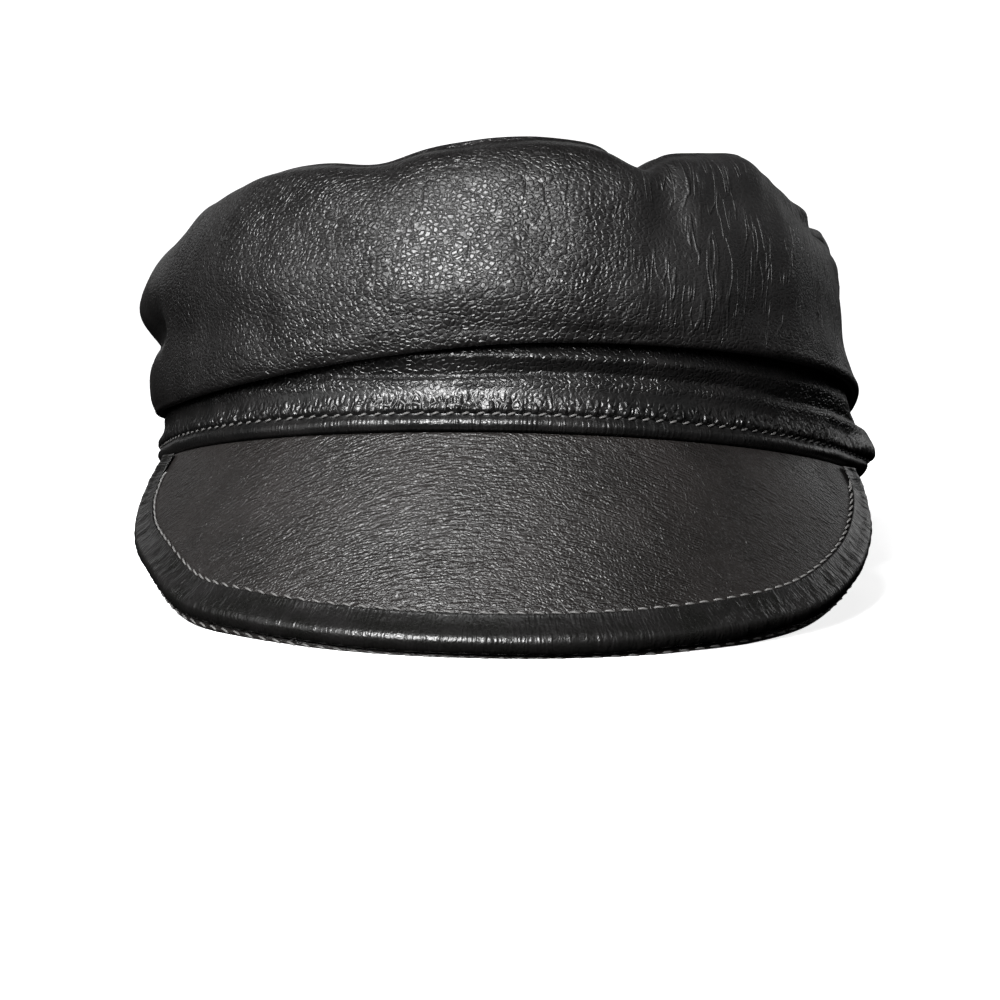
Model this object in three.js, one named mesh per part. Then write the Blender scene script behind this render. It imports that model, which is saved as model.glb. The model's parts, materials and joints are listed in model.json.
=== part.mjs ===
// Skipper cap in black leather: a soft crown with a closed top, a padded head band and a stiff peak.
// Millimetres. Front towards -Y, up +Z. The cap is drawn level about its band first, with the
// band's lower edge in the plane z = 0, and is then laid on the surface as it rests by itself.
import * as THREE from "three";

// Head opening, the inner face of the band.
const HEAD_HALF_WIDTH = 88;
const HEAD_HALF_LENGTH = 94;

// Head band.
const BAND_HEIGHT = 23.5;
const BAND_WALL = 2.2;
const BAND_NAPE_SAG = 4.5;
const NAPE_SAG_WIDTH = 42;
const SAG_FADE = 0.75;
const BAND_INNER_SHARES = [1, 0.66, 0.33, 0];

// Crown.
const CROWN_HEIGHT = 70;
const CROWN_PUFF = 10;
const CROWN_DROOP = 10;
const CROWN_WALL = 1.2;
const HEM_CLEAR = 0.2;
const FOLD_CLEAR = 0.4;
const HEM_IN = 0.5;
const HEM_TURN = 1;
const HEM_DOWN = 0.1;
const TOP_WALL = 1.6;
const TOP_CENTRE_UP = 57;

// Peak.
const PEAK_DEPTH = 57;
const PEAK_SEAM_HALF = 110;
const PEAK_SLOPE = 61;
const PEAK_WALL = 2.2;
const PEAK_FAN = 0.55;
const PEAK_SEAM_OUT = 3.0;
const PEAK_BEND_OUT = 1.6;
const SHEET_ROWS = [0, 0.2, 0.45, 0.72, 1];
const SEAM_END_IN = 8;
const BINDING_WIDTH = 8.8;
const BINDING_HEIGHT = 2.3;
const BINDING_EDGE = 3.3;
const BINDING_CLEAR = 0.5;
const RAIL_ENDS = 0.05;
const UNDER_WALL = 1.2;
const UNDER_INSET = 0.6;
const UNDER_GAPS = 1.7;
const UNDER_START = 4;
const START_FADE = 16;
const SEAM_LEVEL = 12;

// Gap between neighbouring pieces, how far the cap presses flat where it rests, how much more it
// does so at the nape, and mesh density.
const GAP = 0.35;
const REST_FLAT = 0.45;
const NAPE_PRESS = 0.45;
const COLUMNS = 64;
const FRONT_CROWDING = 0.25;
const PEAK_COLUMNS = 42;

// How the cap is laid down. SIDE_FROM: mm from the middle where a half of the rim starts.
// The others are degrees: where the pitch starts, and the ranges that pitch and roll are found in.
const SIDE_FROM = 15;
const PITCH_START = 12;
const PITCH_RANGE = [4, 24];
const ROLL_RANGE = [-4, 4];

// Rows under named columns.
function table(columns, rows) {
  const names = columns.split(" ");
  return rows.map((row) => Object.fromEntries(names.map((name, k) => [name, row[k]])));
}

// Crown sections round the head. at: degrees from the front, + to the viewer's right.
// droop: share of CROWN_DROOP the soft fold hangs below the band's top.
// fold, belly, shoulder, edge: how far the wall stands out from the head opening, shares of CROWN_PUFF.
// bellyUp, shoulderUp, edgeUp: heights, shares of CROWN_HEIGHT.
const CROWN_SECTIONS = table("at droop fold belly bellyUp shoulder shoulderUp edge edgeUp", [
  [-180, 0.45, 0.7, 1.0, 0.46, 0.55, 0.6, -0.5, 0.68],
  [-135, 0.6, 0.65, 0.95, 0.48, 0.55, 0.61, -0.5, 0.7],
  [-100, 0.8, 0.5, 0.92, 0.6, 0.55, 0.71, -0.4, 0.81],
  [-80, 1.0, 0.5, 0.96, 0.6, 0.55, 0.74, -0.35, 0.85],
  [-60, 1.12, 0.6, 0.86, 0.57, 0.45, 0.76, -0.4, 0.87],
  [-40, 0.98, 0.72, 0.95, 0.55, 0.5, 0.8, -0.35, 0.925],
  [-20, 0.65, 0.8, 1.05, 0.55, 0.6, 0.81, -0.3, 0.93],
  [0, 0.32, 0.85, 1.1, 0.55, 0.65, 0.84, -0.3, 0.98],
  [20, 0.2, 0.85, 1.05, 0.55, 0.6, 0.84, -0.3, 0.96],
  [40, 0.17, 0.72, 0.75, 0.53, 0.35, 0.82, -0.45, 1.0],
  [60, 0.2, 0.55, 0.2, 0.5, -0.05, 0.75, -0.6, 0.888],
  [85, 0.3, 0.42, -0.4, 0.5, -0.55, 0.74, -0.68, 0.91],
  [115, 0.4, 0.55, 0.2, 0.48, 0.0, 0.7, -0.6, 0.82],
]);

// Creases and puffs of the crown wall, each along a line from one point to another.
// fromAt, toAt: degrees from the front. fromUp, toUp: shares of CROWN_HEIGHT.
// width: half width in mm. depth: mm inwards, or outwards where it is negative.
const CROWN_CREASES = table("fromAt fromUp toAt toUp width depth", [
  [34, 1.02, 50, 0.86, 4.5, -0.8],
  [50, 0.86, 82, 0.64, 5.5, -1.4],
  [41, 1.02, 56, 0.87, 4.5, 2.2],
  [56, 0.87, 88, 0.72, 5.5, 3.8],
  [86, 0.92, 108, 0.86, 9, -1.4],
  [17, 1.02, 20, 0.74, 6, 2.8],
  [-22, 1.0, -19, 0.85, 8, 1.3],
  [31, 0.78, 35, 0.44, 7, 1.1],
  [-112, 0.45, -66, 0.43, 5, 4.2],
  [-60, 0.4, -36, 0.36, 6, 1.0],
  [-66, 0.86, -80, 0.72, 7, 1.6],
  [-140, 0.62, -128, 0.3, 9, 2.0],
  [150, 0.62, 138, 0.3, 9, 2.0],
  [168, 0.5, 176, 0.28, 8, 1.2],
]);

// Dips of the crown's top edge. at, width: degrees. drop: mm.
const EDGE_DIPS = table("at width drop", [
  [-22, 6, 1.6],
  [17.5, 3.6, 4.6],
  [53, 8, 2.4],
  [-68, 7, 1.4],
  [140, 12, 2.0],
  [-130, 12, 2.0],
]);

// The soft fold's turn, as shares of half its width: up at both sides, and down in the middle.
const FOLD_TURN = { sides: 0.4, middle: 0.6 };

// The crown wall between the fold and the belly, and between the shoulder and the edge.
// out, up: how far along the way from the lower of the two to the upper. more: mm further out.
// FACE_START is in mm from the fold.
const FACE_START = { out: 0.1, up: 2.2 };
const FACE_LOW = table("out up", [
  [0.45, 0.35],
  [0.85, 0.7],
]);
const FACE_MIDDLE = { out: 0.4, up: 0.5, more: 0.3 };
const FACE_TOP = { out: 0.5, up: 0.62, more: 0.9 };

// The creases fade out towards the fold: none of them before the first row of the face, all after over.
const CREASE_FADE = { before: 0.6, over: 2.5 };

// The crown wall's turned edge, and the turned edge of the top inside it, in mm in and down from the edge.
const LIP = table("in down", [
  [0, 0.8],
  [1.2, 0.1],
  [2.3, 0.6],
  [2.8, 1.9],
  [2.9, 4.2],
]);
const TOP_TURN = table("in down", [
  [0, 4.4],
  [0, 1.9],
  [0.6, 0.7],
  [2.2, 0.1],
]);

// The crown top's form over the shares of the way out from the centre. It is a shallow bowl with slack
// that sways from side to side and a ripple of three waves that fades at the centre and the edge.
const TOP_BOWL = { curve: 1.6, ease: 0.6, sunk: 0.3 };
const TOP_SLACK = { tall: 2.2, sway: 0.5, turned: 0.6, rise: 2 };
const TOP_RIPPLE = { tall: 1.1, waves: 3, turned: 0.7, edgeFade: 4, centreFade: 2.4 };
const TOP_SHARES = [0.86, 0.64, 0.36];

// The band's outer face from its lower edge to its top. out: share of BAND_WALL. up: share of BAND_HEIGHT.
const BAND_FACE = table("out up", [
  [0.75, 0],
  [1.25, 0.028],
  [1.52, 0.085],
  [1.42, 0.14],
  [1.02, 0.185],
  [0.96, 0.225],
  [1.26, 0.29],
  [1.48, 0.38],
  [1.36, 0.46],
  [1.04, 0.52],
  [1.3, 0.59],
  [1.45, 0.69],
  [1.2, 0.84],
  [0.75, 1],
]);

// Above ROLL_FROM, a share of its height, the band is an upper roll in front.
// ROLL_OUT: the share of BAND_WALL that its fullest part stands out.
// at, width: degrees. least: share of the roll that is left at the sides and the back.
const ROLL_FROM = 0.55;
const ROLL_OUT = 1.45;
const ROLL = { at: 6, width: 52, least: 0.15 };

// On the viewer's right the band's top leans in and is pressed thin under the crown.
// at, width: degrees. in: mm. thin: share of its wall.
const LEAN = { at: 84, width: 18, in: 2.0, thin: 0.3 };

// Local swellings of the band. at, width: degrees. out: mm. up, tall: shares of BAND_HEIGHT.
const SWELLINGS = table("at width out up tall", [
  [80, 9, 5.2, 0.32, 0.26],
  [-84, 9, 1.2, 0.18, 0.2],
]);

// The peak's rim in its flat pattern. along: share of PEAK_SEAM_HALF from the middle of the seam.
// reach: share of PEAK_DEPTH from the seam.
const PEAK_RIM = table("along reach", [
  [-1.02, 0],
  [-1.05, 0.11],
  [-1.025, 0.3],
  [-0.937, 0.472],
  [-0.79, 0.643],
  [-0.635, 0.82],
  [-0.48, 0.898],
  [-0.3, 0.961],
  [-0.1, 0.993],
  [0.09, 0.987],
  [0.25, 0.953],
  [0.418, 0.886],
  [0.58, 0.79],
  [0.737, 0.622],
  [0.865, 0.443],
  [0.967, 0.25],
  [1.005, 0.1],
  [0.99, 0],
]);

// The binding's closed section. inset: mm in from the rim. lift: share of BINDING_HEIGHT above the peak.
const BINDING_SECTION = table("inset lift", [
  [BINDING_WIDTH, BINDING_CLEAR / BINDING_HEIGHT],
  [BINDING_WIDTH, 0.4],
  [7.8, 0.42],
  [6.6, 0.78],
  [4.4, 1.0],
  [2.2, 0.86],
  [0.7, 0.4],
  [0, -0.3],
  [0.5, -0.8],
  [1.5, -0.96],
  [BINDING_EDGE - BINDING_CLEAR, -0.96],
  [BINDING_EDGE - BINDING_CLEAR, BINDING_CLEAR / BINDING_HEIGHT],
]);

// Each piece's leather, as it looks.
const FINISHES = {
  crown_side: { color: 0x201f1e, roughness: 0.45, metalness: 0 },
  crown_top: { color: 0x201f1e, roughness: 0.48, metalness: 0 },
  band: { color: 0x1c1b1b, roughness: 0.4, metalness: 0 },
  peak: { color: 0x282523, roughness: 0.52, metalness: 0 },
  peak_binding: { color: 0x1a1919, roughness: 0.36, metalness: 0 },
  peak_underside: { color: 0x24211f, roughness: 0.6, metalness: 0 },
};

const rad = THREE.MathUtils.degToRad;
const deg = THREE.MathUtils.radToDeg;
const bell = (x) => Math.exp(-x * x);
const clamp = THREE.MathUtils.clamp;
const lerp = THREE.MathUtils.lerp;

function smooth(x) {
  const t = clamp(x, 0, 1);
  return t * t * (3 - 2 * t);
}

// Shortest turn between two directions, in degrees.
function turn(from, to) {
  return THREE.MathUtils.euclideanModulo(to - from + 180, 360) - 180;
}

// Radius of the head opening in a direction, in radians from the front.
function headRadius(az) {
  const across = HEAD_HALF_LENGTH * Math.sin(az);
  const along = HEAD_HALF_WIDTH * Math.cos(az);
  return (HEAD_HALF_WIDTH * HEAD_HALF_LENGTH) / Math.hypot(across, along);
}

function ringPoint(az, out, up) {
  const r = headRadius(az) + out;
  return new THREE.Vector3(r * Math.sin(az), -r * Math.cos(az), up);
}

function columnAngle(i) {
  const theta = (2 * Math.PI * i) / COLUMNS;
  return theta - FRONT_CROWDING * Math.sin(theta);
}

// One column of a table that closes round the head, read at an angle by a cubic through its rows.
function aroundHead(rows, column, degrees) {
  const n = rows.length;
  let i = n - 1;
  for (let k = 0; k < n; k++) {
    const span = THREE.MathUtils.euclideanModulo(rows[(k + 1) % n].at - rows[k].at, 360);
    const from = THREE.MathUtils.euclideanModulo(degrees - rows[k].at, 360);
    if (from < span) i = k;
  }
  const row = (k) => rows[(k + n) % n];
  const gap = (k) => THREE.MathUtils.euclideanModulo(row(k + 1).at - row(k).at, 360);
  const slope = (k) => (row(k + 1)[column] - row(k - 1)[column]) / (gap(k) + gap(k - 1));
  const h = gap(i);
  const t = THREE.MathUtils.euclideanModulo(degrees - row(i).at, 360) / h;
  const t2 = t * t;
  const t3 = t2 * t;
  return (
    (2 * t3 - 3 * t2 + 1) * row(i)[column] +
    (t3 - 2 * t2 + t) * h * slope(i) +
    (3 * t2 - 2 * t3) * row(i + 1)[column] +
    (t3 - t2) * h * slope(i + 1)
  );
}

// How far a point of the crown wall is moved outwards by the creases and puffs.
function creaseShift(degrees, up) {
  const arc = (HEAD_HALF_WIDTH * Math.PI) / 180;
  let shift = 0;
  for (const crease of CROWN_CREASES) {
    const line = new THREE.Vector2(
      turn(crease.fromAt, crease.toAt) * arc,
      (crease.toUp - crease.fromUp) * CROWN_HEIGHT,
    );
    const spot = new THREE.Vector2(turn(crease.fromAt, degrees) * arc, up - crease.fromUp * CROWN_HEIGHT);
    const share = clamp(spot.dot(line) / line.lengthSq(), 0, 1);
    const away = spot.distanceTo(line.multiplyScalar(share));
    shift -= crease.depth * bell(away / crease.width);
  }
  return shift;
}

// The nape's sag: the band and what sits on it hang lower at the back, towards the surface.
function napeSag(degrees) {
  return BAND_NAPE_SAG * bell(turn(180, degrees) / NAPE_SAG_WIDTH);
}

function swelling(degrees, up) {
  const at = (s) => s.out * bell(turn(s.at, degrees) / s.width) * bell((up - s.up) / s.tall);
  return SWELLINGS.reduce((sum, s) => sum + at(s), 0);
}

// How much of the band's upper roll stands out: full in front, little at the sides and the back.
function upperRoll(degrees) {
  return lerp(ROLL.least, 1, bell(turn(ROLL.at, degrees) / ROLL.width));
}

function leaning(degrees) {
  return bell(turn(LEAN.at, degrees) / LEAN.width);
}

// How far the band's upper part stands out where its face stands out by a share, in mm.
function rolledOut(degrees, share) {
  return BAND_WALL * lerp(1, share, upperRoll(degrees)) * (1 - LEAN.thin * leaning(degrees));
}

function bandSection(az) {
  const degrees = deg(az);
  const sag = napeSag(degrees);
  const place = (out, up) => [
    out - LEAN.in * leaning(degrees) * up,
    up * BAND_HEIGHT - sag * (1 - SAG_FADE * up),
  ];
  const outer = BAND_FACE.map((p) => {
    const out = p.up > ROLL_FROM ? rolledOut(degrees, p.out) : p.out * BAND_WALL;
    return place(out + swelling(degrees, p.up), p.up);
  });
  const inner = BAND_INNER_SHARES.map((up) => place(0, up));
  return [...outer, ...inner];
}

function bandTop(degrees) {
  return BAND_HEIGHT - (1 - SAG_FADE) * napeSag(degrees);
}

function edgeOf(az) {
  const degrees = deg(az);
  const dip = EDGE_DIPS.reduce((sum, d) => sum + d.drop * bell(turn(d.at, degrees) / d.width), 0);
  const up = aroundHead(CROWN_SECTIONS, "edgeUp", degrees) * CROWN_HEIGHT - dip;
  const out = aroundHead(CROWN_SECTIONS, "edge", degrees) * CROWN_PUFF + creaseShift(degrees, up);
  return { out, up };
}

// Middle line of the crown wall at an angle: from its hem above the band, down in front of the band,
// round the soft fold, up the face and over the edge to the lip that is sewn to the top.
function crownLine(az) {
  const degrees = deg(az);
  const read = (column) => aroundHead(CROWN_SECTIONS, column, degrees);
  const top = bandTop(degrees);
  const droop = read("droop") * CROWN_DROOP;
  const lean = LEAN.in * leaning(degrees);
  const inner = rolledOut(degrees, ROLL_OUT) - lean + GAP + CROWN_WALL / 2 + HEM_CLEAR;
  const outer = Math.max(read("fold") * CROWN_PUFF - lean, inner + CROWN_WALL + FOLD_CLEAR);
  const turnUp = (outer - inner) / 2;
  const low = top - droop;
  const edge = edgeOf(az);
  const belly = read("belly") * CROWN_PUFF;
  const bellyUp = read("bellyUp") * CROWN_HEIGHT;
  const shoulder = read("shoulder") * CROWN_PUFF;
  const shoulderUp = read("shoulderUp") * CROWN_HEIGHT;
  const between = (low, high, p) => lerp(low, high, p.out) + (p.more ?? 0);
  const face = [
    [outer + FACE_START.out, low + FACE_START.up],
    ...FACE_LOW.map((p) => [between(outer, belly, p), lerp(low, bellyUp, p.up)]),
    [belly, bellyUp],
    [between(belly, shoulder, FACE_MIDDLE), lerp(bellyUp, shoulderUp, FACE_MIDDLE.up)],
    [shoulder, shoulderUp],
    [between(shoulder, edge.out, FACE_TOP), lerp(shoulderUp, edge.up, FACE_TOP.up)],
  ];
  const faded = (k) => smooth((k + CREASE_FADE.before) / CREASE_FADE.over);
  const creased = face.map(([out, up], k) => [out + creaseShift(degrees, up) * faded(k), up]);
  return [
    [HEM_IN - lean, top + GAP + CROWN_WALL / 2],
    [inner - HEM_TURN, top + GAP + CROWN_WALL / 2],
    [inner, top - HEM_DOWN],
    [inner, low + turnUp * FOLD_TURN.sides],
    [(inner + outer) / 2, low - turnUp * FOLD_TURN.middle],
    [outer, low + turnUp * FOLD_TURN.sides],
    ...creased,
    ...LIP.map((p) => [edge.out - p.in, edge.up - p.down]),
  ];
}

// A middle line thickened to a closed section.
function thicken(line, wall) {
  const left = [];
  const right = [];
  line.forEach(([x, y], i) => {
    const a = line[Math.max(i - 1, 0)];
    const b = line[Math.min(i + 1, line.length - 1)];
    const length = Math.hypot(b[0] - a[0], b[1] - a[1]);
    const nx = ((b[1] - a[1]) / length) * (wall / 2);
    const ny = (-(b[0] - a[0]) / length) * (wall / 2);
    right.push([x + nx, y + ny]);
    left.push([x - nx, y - ny]);
  });
  return [...right, ...left.reverse()];
}

// The crown top's middle line from its turned-down edge towards the centre.
// Only its turned edge keeps a fixed distance from the crown's edge.
function topLine(az) {
  const edge = edgeOf(az);
  const lip = LIP[LIP.length - 1].in;
  const rim = headRadius(az) + edge.out - lip - CROWN_WALL / 2 - GAP - TOP_WALL / 2;
  const rise = (share) => {
    const sway = 1 + TOP_SLACK.sway * Math.cos(2 * az + TOP_SLACK.turned);
    const slack = TOP_SLACK.tall * (1 - share * share) * sway * smooth(share * TOP_SLACK.rise);
    const fades = smooth((1 - share) * TOP_RIPPLE.edgeFade) * smooth(share * TOP_RIPPLE.centreFade);
    const ripple = TOP_RIPPLE.tall * Math.sin(TOP_RIPPLE.waves * az + TOP_RIPPLE.turned) * fades;
    const curve = share * share * (TOP_BOWL.curve - TOP_BOWL.ease * share);
    return lerp(TOP_CENTRE_UP, edge.up - TOP_BOWL.sunk, curve) + slack + ripple;
  };
  return [
    ...TOP_TURN.map((p) => [rim - p.in, edge.up - p.down]),
    ...TOP_SHARES.map((share) => [rim * share, rise(share)]),
  ];
}

// A mesh from points and faces, turned to face out.
function solid(name, points, faces) {
  let volume = 0;
  for (const [a, b, c] of faces) volume += points[a].dot(points[b].clone().cross(points[c]));
  const index = volume < 0 ? faces.flatMap(([a, b, c]) => [a, c, b]) : faces.flat();
  const geometry = new THREE.BufferGeometry().setFromPoints(points);
  geometry.setIndex(index);
  const mesh = new THREE.Mesh(geometry, new THREE.MeshStandardMaterial(FINISHES[name]));
  mesh.name = name;
  return mesh;
}

// Sections joined side by side: round a full loop, or from end to end with closed ends.
function joined(name, sections, loop, endFaces) {
  const size = sections[0].length;
  const points = sections.flat();
  const faces = [];
  const last = loop ? sections.length : sections.length - 1;
  for (let i = 0; i < last; i++) {
    const a = i * size;
    const b = ((i + 1) % sections.length) * size;
    for (let j = 0; j < size; j++) {
      const k = (j + 1) % size;
      faces.push([a + j, b + j, b + k], [a + j, b + k, a + k]);
    }
  }
  if (!loop) {
    const far = (sections.length - 1) * size;
    for (const [a, b, c] of endFaces) faces.push([a, b, c], [far + a, far + c, far + b]);
  }
  return solid(name, points, faces);
}

function ringSolid(name, section) {
  const sections = [];
  for (let i = 0; i < COLUMNS; i++) {
    const az = columnAngle(i);
    sections.push(section(az).map(([out, up]) => ringPoint(az, out, up)));
  }
  return joined(name, sections, true);
}

// The crown top: rings of an upper and a lower skin that meet at the turned-down edge and at two centres.
function crownTop() {
  const sections = [];
  for (let i = 0; i < COLUMNS; i++) {
    const az = columnAngle(i);
    const line = topLine(az);
    const section = thicken(line, TOP_WALL);
    sections.push(section.map(([r, up]) => new THREE.Vector3(r * Math.sin(az), -r * Math.cos(az), up)));
  }
  const size = sections[0].length;
  const half = size / 2;
  const points = sections.flat();
  const upper = points.length;
  points.push(new THREE.Vector3(0, 0, TOP_CENTRE_UP + TOP_WALL / 2));
  points.push(new THREE.Vector3(0, 0, TOP_CENTRE_UP - TOP_WALL / 2));
  const faces = [];
  for (let i = 0; i < COLUMNS; i++) {
    const a = i * size;
    const b = ((i + 1) % COLUMNS) * size;
    for (let j = 0; j < size; j++) {
      if (j === half - 1) continue;
      const k = (j + 1) % size;
      faces.push([a + j, b + j, b + k], [a + j, b + k, a + k]);
    }
    faces.push([a + half - 1, b + half - 1, upper], [b + half, a + half, upper + 1]);
  }
  return solid("crown_top", points, faces);
}

// A point of the peak from its flat pattern: u along the seam, d down the slope, lift off the surface.
// Near the seam the section is cut level, just under the band. start leaves the first mm of d free.
function peakPoint(u, d, lift, start) {
  const az = u / ((HEAD_HALF_WIDTH + HEAD_HALF_LENGTH) / 2 + PEAK_BEND_OUT);
  const fan = az * PEAK_FAN;
  const slope = rad(PEAK_SLOPE);
  const level = (lift / Math.tan(slope)) * (1 - smooth(d / SEAM_LEVEL));
  const reach = d + start * (1 - smooth(d / START_FADE)) + level;
  const ahead = new THREE.Vector3(Math.sin(fan), -Math.cos(fan), 0);
  const up = new THREE.Vector3(0, 0, 1);
  const along = ahead.clone().multiplyScalar(Math.cos(slope)).addScaledVector(up, -Math.sin(slope));
  const normal = ahead.clone().multiplyScalar(Math.sin(slope)).addScaledVector(up, Math.cos(slope));
  return ringPoint(az, PEAK_SEAM_OUT, -GAP).addScaledVector(along, reach).addScaledVector(normal, lift);
}

const rim = new THREE.CatmullRomCurve3(
  PEAK_RIM.map((p) => new THREE.Vector3(p.along * PEAK_SEAM_HALF, p.reach * PEAK_DEPTH, 0)),
  false,
  "centripetal",
);
rim.arcLengthDivisions = 600;

// The rim moved inwards in the pattern. At both ends it moves along the seam.
function rail(share, inset) {
  const at = rim.getPointAt(share);
  const tangent = rim.getTangentAt(share);
  const ends = 1 - smooth(Math.min(share, 1 - share) / RAIL_ENDS);
  const side = share < 0.5 ? 1 : -1;
  const inwards = new THREE.Vector2(tangent.y, -tangent.x).lerp(new THREE.Vector2(side, 0), ends).normalize();
  return [at.x + inwards.x * inset, Math.max(at.y + inwards.y * inset, 0)];
}

// A sheet of the peak between the inset rim and the seam, with a top and a bottom face.
// Its first strip lies under the binding, and the rest is shared out down to the seam.
function peakSheet(name, inset, top, wall, start) {
  const sections = [];
  const near = rail(0, BINDING_WIDTH)[0] + SEAM_END_IN;
  const far = rail(1, BINDING_WIDTH)[0] - SEAM_END_IN;
  for (let i = 0; i <= PEAK_COLUMNS; i++) {
    const share = i / PEAK_COLUMNS;
    const [u, d] = rail(share, BINDING_WIDTH);
    const seam = lerp(near, far, share);
    const strip = [rail(share, inset), ...SHEET_ROWS.map((row) => [lerp(u, seam, row), lerp(d, 0, row)])];
    const face = (lift) => strip.map(([along, reach]) => peakPoint(along, reach, lift, start));
    sections.push([...face(top), ...face(top - wall).reverse()]);
  }
  const ends = [];
  const size = sections[0].length;
  for (let j = 0; j < size / 2 - 1; j++) {
    const k = size - 1 - j;
    ends.push([j, j + 1, k - 1], [j, k - 1, k]);
  }
  return joined(name, sections, false, ends);
}

function peakBinding() {
  const sections = [];
  for (let i = 0; i <= PEAK_COLUMNS; i++) {
    const share = i / PEAK_COLUMNS;
    sections.push(
      BINDING_SECTION.map((p) => {
        const [u, d] = rail(share, p.inset);
        return peakPoint(u, d, p.lift * BINDING_HEIGHT, 0);
      }),
    );
  }
  const outline = BINDING_SECTION.map((p) => new THREE.Vector2(p.inset, p.lift * BINDING_HEIGHT));
  return joined("peak_binding", sections, false, THREE.ShapeUtils.triangulateShape(outline, []));
}

const pieces = [
  ringSolid("crown_side", (az) => thicken(crownLine(az), CROWN_WALL)),
  crownTop(),
  ringSolid("band", bandSection),
  peakSheet("peak", BINDING_EDGE, 0, PEAK_WALL, 0),
  peakBinding(),
  peakSheet("peak_underside", UNDER_INSET, -PEAK_WALL - UNDER_GAPS * GAP, UNDER_WALL, UNDER_START),
];

// Lay the cap down: pitch it until the peak's rim and the nape are equally low, and roll it until
// both halves of the rim are. Then set it on z = 0 and press the touching spots flat.
function lowest(names, turned, side) {
  let low = Infinity;
  for (const piece of pieces) {
    if (!names.includes(piece.name)) continue;
    const at = piece.geometry.attributes.position;
    const p = new THREE.Vector3();
    for (let i = 0; i < at.count; i++) {
      p.fromBufferAttribute(at, i);
      if (side && p.x * side < SIDE_FROM) continue;
      low = Math.min(low, p.applyMatrix4(turned).z);
    }
  }
  return low;
}

function laid(pitch, roll) {
  return new THREE.Matrix4().makeRotationX(-pitch).multiply(new THREE.Matrix4().makeRotationY(roll));
}

function zeroOf(difference, range) {
  let [low, high] = range.map(rad);
  for (let i = 0; i < 40; i++) {
    const middle = (low + high) / 2;
    if (difference(middle) > 0) high = middle;
    else low = middle;
  }
  return (low + high) / 2;
}

const FRONT = ["peak", "peak_binding", "peak_underside"];
let pitch = rad(PITCH_START);
let roll = 0;
for (let round = 0; round < 4; round++) {
  const lean = (a) => lowest(FRONT, laid(a, roll)) - lowest(["band"], laid(a, roll)) - NAPE_PRESS;
  pitch = zeroOf(lean, PITCH_RANGE);
  const sideways = (a) => lowest(FRONT, laid(pitch, a), -1) - lowest(FRONT, laid(pitch, a), 1);
  roll = zeroOf(sideways, ROLL_RANGE);
}

const placed = laid(pitch, roll);
const box = new THREE.Box3();
for (const piece of pieces) {
  piece.geometry.applyMatrix4(placed);
  piece.geometry.computeBoundingBox();
  box.union(piece.geometry.boundingBox);
}
const middle = box.getCenter(new THREE.Vector3());
const cap = new THREE.Group();
cap.name = "skipper_cap";
for (const piece of pieces) {
  const at = piece.geometry.attributes.position;
  for (let i = 0; i < at.count; i++) {
    const up = at.getZ(i) - box.min.z - REST_FLAT - NAPE_PRESS;
    at.setXYZ(i, at.getX(i) - middle.x, at.getY(i) - middle.y, Math.max(up, 0));
  }
  cap.add(piece);
}
cap.userData = { pitch, roll, middle: [middle.x, middle.y, box.min.z + REST_FLAT + NAPE_PRESS] };

export default cap;
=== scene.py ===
# %% [markdown]
# A skipper cap in black leather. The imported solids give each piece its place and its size.
# This script lays finer leather over them: the same forms worked out again with many more points,
# then the folds, wrinkles, rolled edges and stitches that a plain solid leaves out.

import json
import math

import bpy
import numpy as np
from mathutils import Matrix, Vector, noise


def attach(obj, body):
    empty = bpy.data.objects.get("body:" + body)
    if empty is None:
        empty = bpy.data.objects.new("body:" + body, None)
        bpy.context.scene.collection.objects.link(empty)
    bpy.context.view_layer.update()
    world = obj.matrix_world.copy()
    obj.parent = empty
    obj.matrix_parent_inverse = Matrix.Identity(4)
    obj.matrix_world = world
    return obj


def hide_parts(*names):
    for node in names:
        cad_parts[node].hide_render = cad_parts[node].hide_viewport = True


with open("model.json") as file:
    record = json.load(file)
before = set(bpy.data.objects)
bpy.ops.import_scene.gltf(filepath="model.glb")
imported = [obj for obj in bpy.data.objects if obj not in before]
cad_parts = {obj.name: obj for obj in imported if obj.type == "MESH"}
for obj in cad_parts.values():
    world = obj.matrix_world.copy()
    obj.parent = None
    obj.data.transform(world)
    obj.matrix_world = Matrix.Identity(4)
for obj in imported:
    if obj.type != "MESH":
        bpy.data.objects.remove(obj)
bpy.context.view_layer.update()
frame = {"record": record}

# %% [markdown]
# The cap was drawn level about its band, in millimetres, and then laid down: it rests tilted back
# on the rim of its peak and on the nape. The record's head opening says where the band's middle is
# and which way it faces, which is all that is needed to follow it there.

# %% From the level cap to where it lies
MM = 0.001
opening = next(m for m in frame["record"]["mounts"] if m["name"] == "head_opening")
cap_up = -Vector(opening["axis"]).normalized()
lean_back = math.atan2(cap_up.y, cap_up.z)
lean_side = math.asin(cap_up.x)
laid = Matrix.Rotation(-lean_back, 4, "X") @ Matrix.Rotation(lean_side, 4, "Y")
laid.translation = Vector(opening["pos_m"])
LAID = np.array(laid)


def new_object(name, data):
    """An object in the scene."""
    made = bpy.data.objects.new(name, data)
    bpy.context.scene.collection.objects.link(made)
    return made


def lay(points):
    """Points of the level cap in mm, moved to where the cap lies, in metres."""
    return (np.asarray(points) * MM) @ LAID[:3, :3].T + LAID[:3, 3]


print("leans back", round(math.degrees(lean_back), 2), "and sideways", round(math.degrees(lean_side), 2))

# %% [markdown]
# The camera stands where the photograph was taken from: in front, a hand's height above the table,
# 60 cm from the middle of the cap. Its place is given from the level cap and laid down with it.

# %% Camera
CAMERA_AT = (-1.4, -600.0, -61.8)
CAMERA_TURN = math.radians(-0.1)
CAMERA_TILT = math.radians(5.27)
CAMERA_ROLL = math.radians(1.2)
CAMERA_FOCAL = 2.27

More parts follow.
